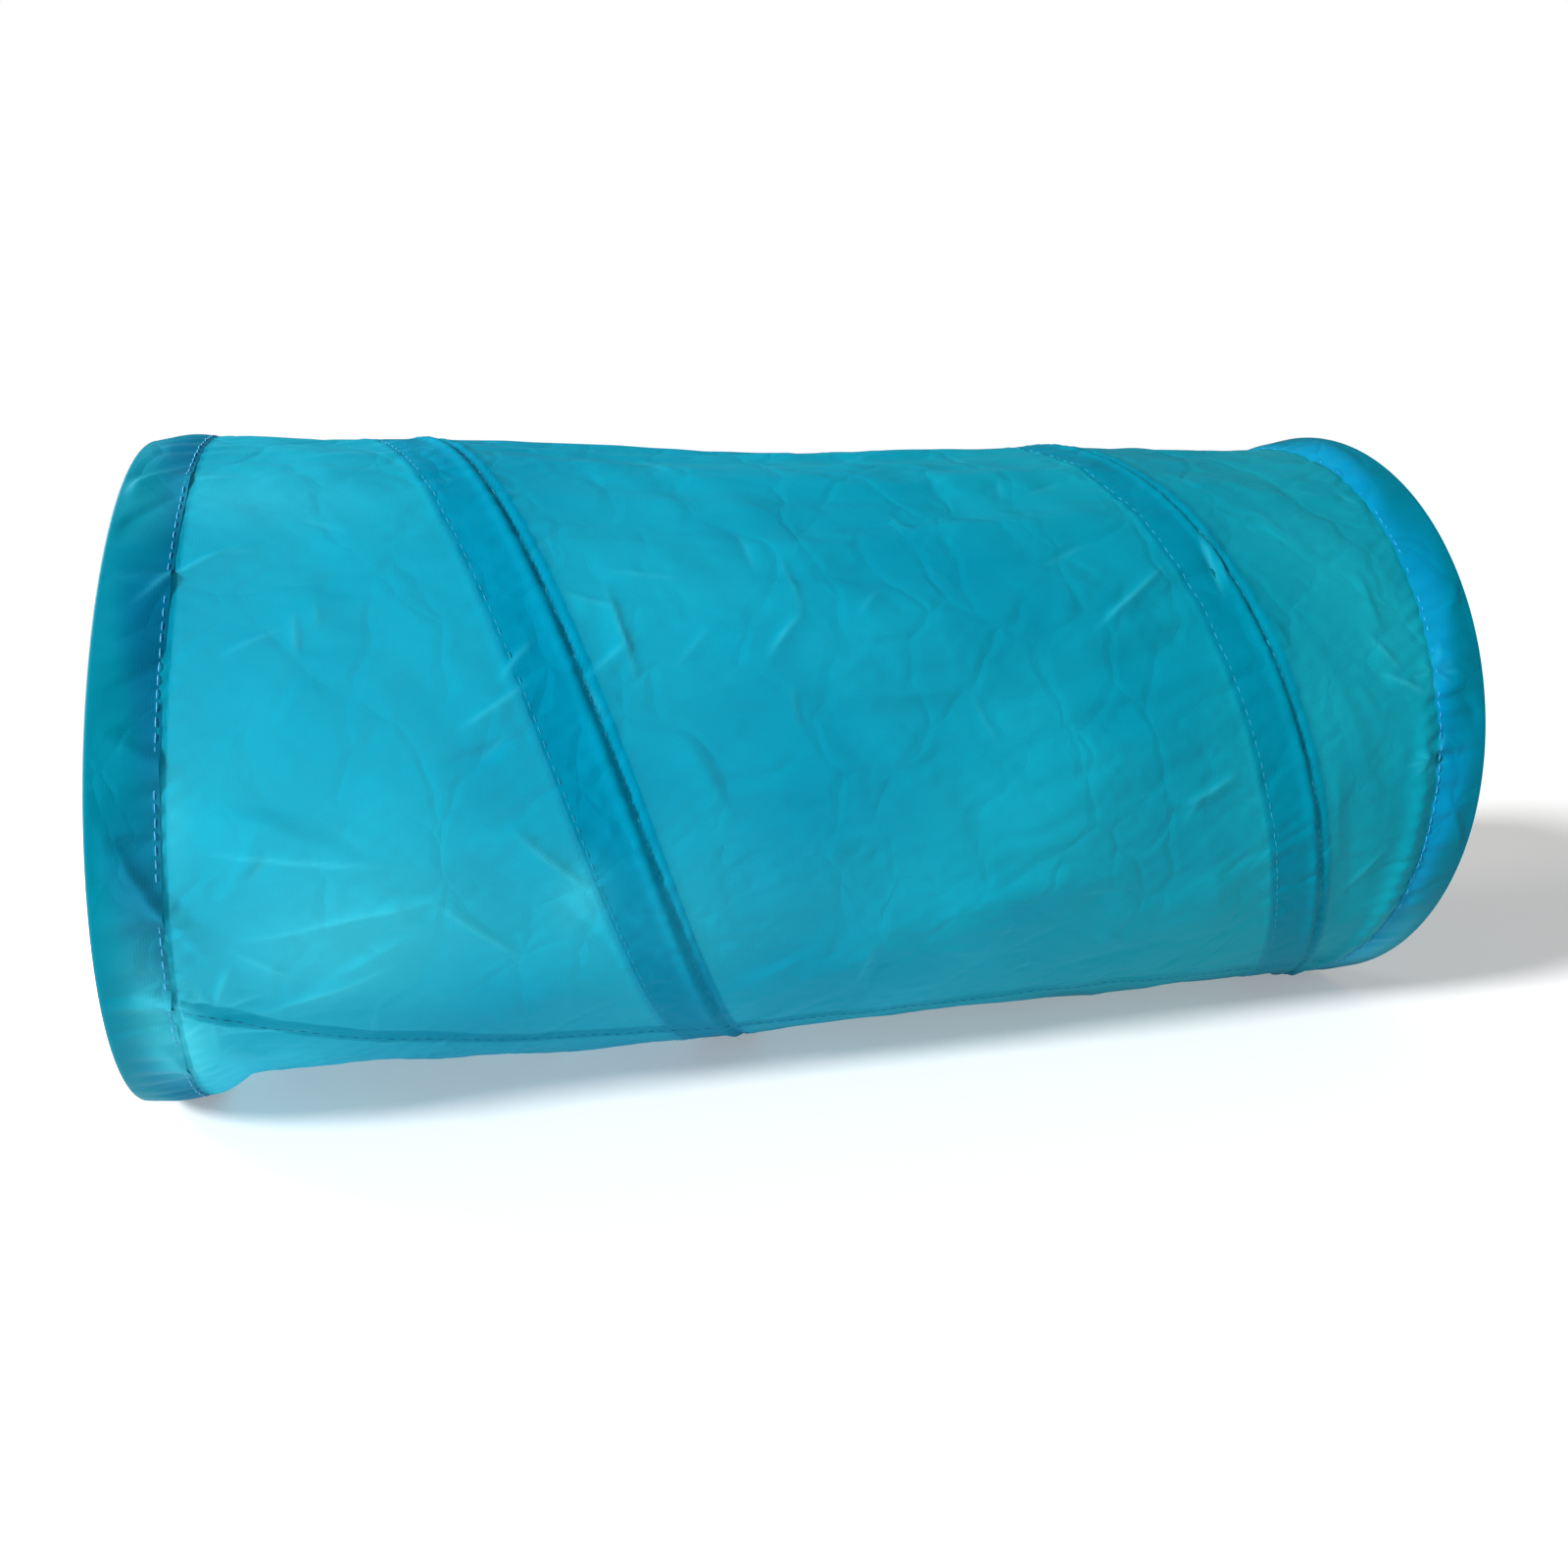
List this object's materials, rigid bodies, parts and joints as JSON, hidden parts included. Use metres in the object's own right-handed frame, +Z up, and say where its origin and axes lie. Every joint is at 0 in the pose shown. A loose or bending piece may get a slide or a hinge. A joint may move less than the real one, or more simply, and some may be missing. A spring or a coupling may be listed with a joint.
{
  "type": "agility tunnel",
  "caption": "Round pop-up tunnel for small pets: a thin polyester sleeve on a helical spring wire, with a hooped hem at each end that presses flat for storage.",
  "frame": {"origin": "centre of the bounding box's base, on the floor under the middle of the tunnel", "axes": "+X along the tunnel from the front hoop to the rear hoop, +Z up; -Y is the side seen in the picture"},
  "size_m": [0.5396, 0.2614, 0.2603],
  "materials": {
    "sleeve_cloth": "thin semi-gloss polyester taffeta, slightly translucent",
    "hem_cloth": "the same cloth folded double, so it looks darker",
    "tape_cloth": "the same cloth cut as a tape",
    "spring_wire": "drawn spring steel",
    "ferrule": "crimped, satin",
    "tip_cap": "matt vinyl",
    "thread": "polyester sewing thread"
  },
  "bodies": {
    "front_end": {"front_hoop": "spring_wire", "front_hoop_ferrule": "ferrule", "front_hem": "hem_cloth", "front_hem_thread": "thread", "sleeve": "sleeve_cloth", "seam_allowance": "tape_cloth", "seam_thread": "thread", "coil_wire": "spring_wire", "coil_front_tip": "tip_cap", "coil_channel": "tape_cloth", "channel_thread_front": "thread", "channel_thread_rear": "thread"},
    "rear_end": {"rear_hoop": "spring_wire", "rear_hoop_ferrule": "ferrule", "rear_hem": "hem_cloth", "rear_hem_thread": "thread", "coil_rear_tip": "tip_cap"}
  },
  "joints": [
    {"name": "collapse", "type": "slide", "parent": "front_end", "child": "rear_end", "axis": [1, 0, 0], "range_m": [-0.474, 0], "stiffness_N_per_m": 15, "deforming": ["coil_wire", "coil_channel", "sleeve", "seam_allowance", "front_hem", "rear_hem", "front_hem_thread", "rear_hem_thread", "channel_thread_front", "channel_thread_rear", "seam_thread"]}
  ]
}
